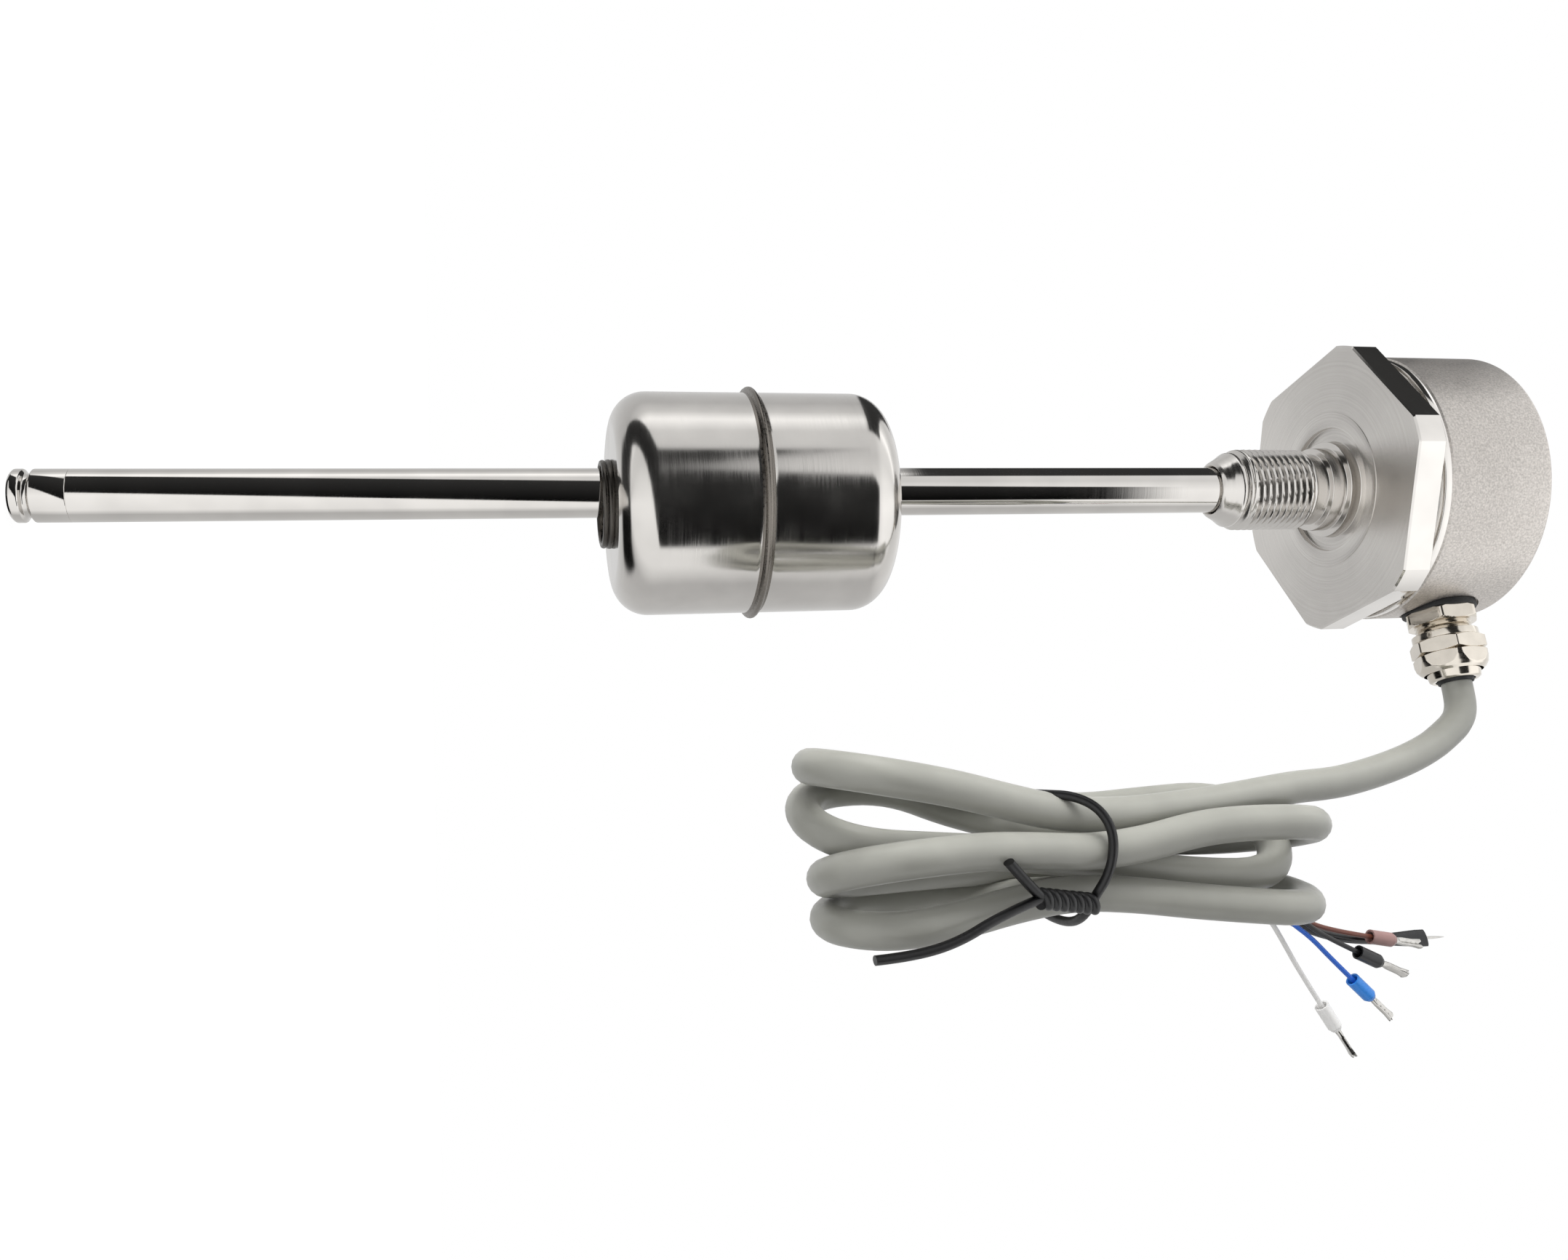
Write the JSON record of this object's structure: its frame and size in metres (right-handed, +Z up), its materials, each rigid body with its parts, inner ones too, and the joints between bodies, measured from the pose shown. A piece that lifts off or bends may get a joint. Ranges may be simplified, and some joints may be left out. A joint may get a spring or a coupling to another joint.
{
  "type": "magnetostrictive level sensor",
  "caption": "Level sensor with a float that slides on a slim steel stem, a threaded hexagon fitting, a round steel head, a side cable gland and a tied cable with ferruled wires.",
  "frame": {"origin": "on the stem's axis, in the sealing face under the hexagon", "axes": "+Z up along the stem towards the head, +X the way the cable gland points"},
  "size_m": [0.152, 0.0742, 0.3065],
  "materials": {
    "stem_steel": "polished stainless steel",
    "fitting_steel": "turned stainless steel",
    "float_steel": "drawn and polished stainless steel",
    "housing_steel": "bead blasted stainless steel",
    "inner_metal": "bare drawn wire",
    "copper": "enamelled copper",
    "magnet": "sintered ferrite",
    "inner_plastic": "moulded natural plastic",
    "black_rubber": "moulded rubber",
    "board": "solder resist",
    "brass": "turned brass",
    "screw_steel": "zinc plated",
    "chip_black": "moulded epoxy",
    "can_aluminium": "drawn can",
    "connector_plastic": "moulded plastic",
    "gland_metal": "nickel plated brass",
    "cable_grey": "soft grey cable jacket",
    "shrink_black": "shrunk sleeve",
    "tinned_copper": "tin plated copper",
    "core_white": "wire insulation",
    "core_blue": "wire insulation",
    "core_black": "wire insulation",
    "core_brown": "wire insulation",
    "collar_white": "moulded plastic",
    "collar_blue": "moulded plastic",
    "collar_black": "moulded plastic",
    "collar_brown": "moulded plastic",
    "tie_black": "coated wire"
  },
  "bodies": {
    "sensor": {"process_fitting": "fitting_steel", "stem_tube": "stem_steel", "stem_end_plug": "stem_steel", "housing": "housing_steel", "housing_seal_ring": "black_rubber", "waveguide_wire": "inner_metal", "waveguide_sleeve": "inner_plastic", "return_wire": "copper", "tip_damper": "black_rubber", "stem_spacers": "inner_plastic", "coil_bobbin": "inner_plastic", "pickup_coil": "copper", "bias_magnet": "magnet", "circuit_board": "board", "board_standoffs": "brass", "board_screws": "screw_steel", "board_chip": "chip_black", "board_capacitors": "can_aluminium", "cable_connector": "connector_plastic", "inner_leads": "core_white", "gland_body": "gland_metal", "gland_seal": "black_rubber", "gland_claw": "inner_plastic", "gland_bush": "black_rubber", "gland_dome_nut": "gland_metal", "cable_tail": "cable_grey", "cable_lead": "cable_grey", "cable_hank": "cable_grey", "cable_end_sleeve": "shrink_black", "drain_sleeve": "shrink_black", "drain_wire": "tinned_copper", "twist_tie": "tie_black", "wire_white": "core_white", "ferrule_collar_white": "collar_white", "ferrule_pin_white": "tinned_copper", "wire_blue": "core_blue", "ferrule_collar_blue": "collar_blue", "ferrule_pin_blue": "tinned_copper", "wire_black": "core_black", "ferrule_collar_black": "collar_black", "ferrule_pin_black": "tinned_copper", "wire_brown": "core_brown", "ferrule_collar_brown": "collar_brown", "ferrule_pin_brown": "tinned_copper"},
    "float": {"float_upper_shell": "float_steel", "float_lower_shell": "float_steel", "float_bore_tube": "float_steel", "float_magnet": "magnet", "float_magnet_carrier": "inner_plastic"}
  },
  "joints": [
    {"name": "float_slide", "type": "slide", "parent": "sensor", "child": "float", "axis": [0, 0, 1], "range_m": [-0.103, 0.075]}
  ]
}
